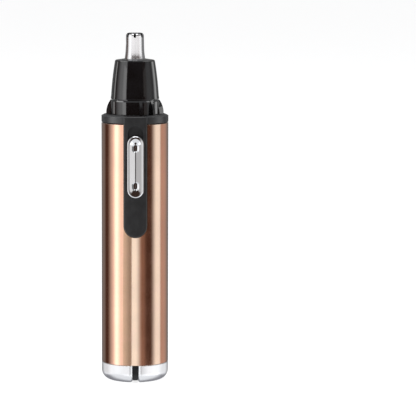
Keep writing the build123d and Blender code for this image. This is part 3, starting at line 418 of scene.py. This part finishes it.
def make_floor(reach):
    """A wide, very slightly mottled pale floor that glows like a light table."""
    mesh = bpy.data.meshes.new("floor")
    corners = [(-reach, -reach, 0), (reach, -reach, 0), (reach, reach, 0), (-reach, reach, 0)]
    mesh.from_pydata(corners, [], [(0, 1, 2, 3)])
    floor = bpy.data.objects.new("floor", mesh)
    bpy.context.scene.collection.objects.link(floor)
    f = Finish("floor_finish")
    mottle = f.remap(f.noise(0.02, 3), 0.3, 0.7)
    colour = f.mix(mottle, (0.54, 0.54, 0.54, 1), (0.56, 0.56, 0.56, 1))
    f.shader.inputs["Emission Color"].default_value = (1, 1, 1, 1)
    mesh.materials.append(f.done(
        colour, 0.8, Specular_IOR_Level=0.1, Emission_Strength=FLOOR_GLOW))
    floor.visible_glossy = False
    floor.visible_shadow = False


make_floor(FLOOR_REACH)

# ---------------------------------------------------------------- studio light
# Compass angles are in degrees: the camera's side is 0 and they grow to the right. What a
# turned part shows at an angle from its middle is the wall at twice that angle.
WHITE = 1.20
GREY = 0.20
BROWN = 0.07
BLACK = 0.04
DARK_TONE = (1.0, 0.54, 0.38)  # the brown and black cloths are both brownish
# The cloths round the walls, as (start, end, brightness). Each melts into the next.
CLOTHS = (
    (-180, -134, GREY),
    (-118, -111, BROWN),
    (-70, -46, WHITE),
    (-42, 38, BLACK),
    (43, 54, BROWN),
    (64, 180, GREY),
)
# Heights are how steeply a direction points up or down, from -1 to 1, and depths are how far
# it points to the back.
FLOOR_HEIGHTS = (-0.22, -0.30)
CEILING_HEIGHTS = (0.35, 0.8)
BACK_DEPTHS = (-0.1, 0.45)
FRONT_FLOOR = (0.85, 0.86, 0.88, 1)
BACK_FLOOR = (0.22, 0.22, 0.24, 1)
CEILING = (0.42, 0.43, 0.44, 1)


def make_world():
    """A round studio: lighter and darker cloth walls, grey ceiling, floor darker at the back."""
    world = bpy.data.worlds.new("studio")
    world.use_nodes = True
    bpy.context.scene.world = world
    t = Tree(world.node_tree)
    way = t.add("ShaderNodeTexCoord").outputs["Generated"]
    split = t.add("ShaderNodeSeparateXYZ", {0: way})
    x, y, z = split.outputs
    angle = t.math("ARCTAN2", x, t.math("MULTIPLY", y, -1.0))
    share = t.math("ADD", t.math("DIVIDE", angle, 2 * math.pi), 0.5)
    stops = []
    for start, end, level in CLOTHS:
        tone = DARK_TONE if level < GREY else (1.0, 1.0, 1.0)
        colour = tuple(level / WHITE * c for c in tone) + (1,)
        stops += [(start / 360 + 0.5, colour), (end / 360 + 0.5, colour)]
    walls = t.mix(1.0, t.ramp(share, stops), (WHITE, WHITE, WHITE, 1), "MULTIPLY")
    ground = t.mix(t.remap(y, *BACK_DEPTHS), FRONT_FLOOR, BACK_FLOOR)
    colour = t.mix(t.remap(z, *FLOOR_HEIGHTS), walls, ground)
    colour = t.mix(t.remap(z, *CEILING_HEIGHTS), colour, CEILING)
    back = t.add("ShaderNodeBackground", {0: colour})
    out = t.add("ShaderNodeOutputWorld")
    t.tree.links.new(back.outputs[0], out.inputs[0])


make_world()


def soft_panel(name, angle, lift, distance, size, level, only=(), fades=None, tone=None, without=()):
    """A soft area light of a given brightness that faces the trimmer from a compass angle.

    Where only is given, the panel lights and shows in those nodes alone, and where without is
    given, in everything but those. Fades are the shares of its width over which it fades out on
    its left and on its right.
    """
    data = bpy.data.lights.new(name, "AREA")
    data.shape = "RECTANGLE"
    data.size, data.size_y = size
    data.energy = level * size[0] * size[1] * math.pi
    data.color = tone or (1, 1, 1)
    if fades:
        data.use_nodes = True
        t = Tree(data.node_tree)
        across = t.add("ShaderNodeSeparateXYZ", {
            0: t.add("ShaderNodeNewGeometry").outputs["Parametric"]}).outputs[0]
        left, right = (max(fade, 0.001) for fade in fades)
        glow = t.math("MULTIPLY", t.remap(across, 0.0, left), t.remap(across, 1.0, 1.0 - right))
        emission = t.add("ShaderNodeEmission", {"Strength": glow})
        out = t.add("ShaderNodeOutputLight")
        t.tree.links.new(emission.outputs[0], out.inputs[0])
    lamp = bpy.data.objects.new(name, data)
    bpy.context.scene.collection.objects.link(lamp)
    a, e = math.radians(angle), math.radians(lift)
    away = Vector((math.sin(a) * math.cos(e), -math.cos(a) * math.cos(e), math.sin(e)))
    lamp.location = Vector((0, 0, cad_high.z / 2)) + away * distance
    lamp.rotation_euler = away.to_track_quat("Z", "Y").to_euler()
    if only or without:
        group = bpy.data.collections.new(name + "_link")
        for node in only or without:
            group.objects.link(frame["nodes"][node])
        for row in group.collection_objects:
            row.light_linking.link_state = "INCLUDE" if only else "EXCLUDE"
        lamp.light_linking.receiver_collection = group


VIEW_DROP = -6.6  # the lift, in degrees, of what an upright surface mirrors to the camera
STRIP_DISTANCE = 1.6
STRIP_HEIGHT = 1.2


def wall_strip(name, start, end, level, only, fades=(0.2, 0.2), tone=None):
    """An upright strip of wall between two compass angles that shows in a few nodes alone."""
    width = 2 * STRIP_DISTANCE * math.tan(math.radians(end - start) / 2)
    size = (width, STRIP_HEIGHT)
    middle = (start + end) / 2
    soft_panel(name, middle, VIEW_DROP, STRIP_DISTANCE, size, level, only, fades, tone)


# The band of light that a strip makes on the tube lies at half the strip's angle.
TUBE = ("barrel",)
KNOB = ("switch_knob",)
CAP = ("bottom_cap",)
NOZZLE = ("outer_cutter",)
HEAD = ("head_base", "head_cone")
PANEL = ("switch_panel", "collar_ring")
COOL = (0.72, 0.94, 1.0)
WARM = (1.0, 0.70, 0.56)
HONEY = (0.88, 0.98, 0.90)
wall_strip("white_strip", -82, -49, 1.05, TUBE, (0.45, 0.55))
wall_strip("tan_strip", -46, -12, 0.52, TUBE, (0.1, 0.9), HONEY)
wall_strip("haze_strip", -46, -11, 0.30, TUBE, (0.1, 0.05), HONEY)
wall_strip("cream_strip", -13, 23, 1.58, TUBE, (0.05, 0.60), COOL)
wall_strip("brown_strip", 8, 44, 0.22, TUBE, (0.3, 0.5), WARM)
wall_strip("peach_strip", 58, 101, 1.28, TUBE, (0.5, 0.22), COOL)
wall_strip("rose_strip", 94, 150, 0.34, TUBE, (0.15, 0.6), WARM)
wall_strip("nozzle_left", -44, 0, 0.95, NOZZLE, (0.05, 0.05))
wall_strip("cap_left", -44, -3, 0.84, CAP, (0.05, 0.3))
wall_strip("nozzle_middle", -2, 42, 0.88, NOZZLE, (0.05, 0.05))
wall_strip("nozzle_right", 40, 94, 0.85, NOZZLE, (0.04, 0.12))
wall_strip("cap_middle", -3, 50, 0.86, CAP, (0.9, 0.05))
wall_strip("cap_right", 48, 96, 0.84, CAP, (0.05, 0.05))
wall_strip("cap_left_edge", -150, -86, 0.66, CAP, (0.3, 0.05))
wall_strip("cap_right_edge", 94, 150, 0.66, CAP, (0.05, 0.3))
wall_strip("knob_left", -60, -12, 0.5, KNOB)
wall_strip("knob_right", 12, 60, 0.82, KNOB)
wall_strip("left_rim", -126, -110, 1.3, HEAD, (0.4, 0.4))
wall_strip("right_rim", 100, 134, 1.5, HEAD, (0.5, 0.4))
wall_strip("head_left", -68, -43, 0.8, HEAD, (0.5, 0.05))
wall_strip("head_haze", 40, 100, 0.22, HEAD, (0.1, 0.4))
soft_panel("left_bevel", -86, 44, 1.0, (0.9, 0.3), 2.4, HEAD)
soft_panel("right_bevel", 86, 44, 1.0, (0.9, 0.3), 1.4, HEAD)
soft_panel("left_panel_edge", -84, 4, 1.0, (0.5, 1.2), 1.6, PANEL)
soft_panel("right_panel_edge", 92, 4, 1.0, (0.5, 1.2), 1.2, PANEL)
soft_panel("overhead", 0, 80, 1.6, (1.4, 1.4), 3.0, without=HEAD)


# ---------------------------------------------------------------- camera
CAMERA_BACK = 0.915
CAMERA_HEIGHT = 0.176
CAMERA_SIDE = -0.014
PITCH = 6.65  # degrees below level
LENS = 198.2  # millimetres, like the sensor
SENSOR = 36.0
OFF_CENTRE = 0.1756  # how far left of the frame's middle the trimmer stands, as a share


def make_camera():
    """A long lens from a little above, with the trimmer left of the middle."""
    data = bpy.data.cameras.new("camera")
    data.lens = LENS
    data.sensor_width = SENSOR
    data.clip_end = 100
    camera = bpy.data.objects.new("camera", data)
    bpy.context.scene.collection.objects.link(camera)
    camera.location = (CAMERA_SIDE, -CAMERA_BACK, CAMERA_HEIGHT)
    to_axis = math.atan2(-CAMERA_SIDE, CAMERA_BACK)
    pitch = math.radians(PITCH)
    heading = to_axis + math.atan(OFF_CENTRE * SENSOR / LENS / math.cos(pitch))
    ahead = Vector((
        math.sin(heading) * math.cos(pitch),
        math.cos(heading) * math.cos(pitch),
        -math.sin(pitch),
    ))
    turn = ahead.to_track_quat("-Z", "Y").to_matrix()
    # An upright edge beside the frame's middle leans a little, so the camera rolls it straight.
    foot = turn.transposed() @ (Vector((0, 0, 0)) - camera.location)
    tip = turn.transposed() @ (Vector((0, 0, cad_high.z)) - camera.location)
    lean = math.atan2(tip.x / -tip.z - foot.x / -foot.z, tip.y / -tip.z - foot.y / -foot.z)
    roll = Matrix.Rotation(-lean, 3, "Z")
    camera.rotation_euler = (turn @ roll).to_euler()
    bpy.context.scene.camera = camera


make_camera()
bpy.context.scene.view_settings.view_transform = "Standard"
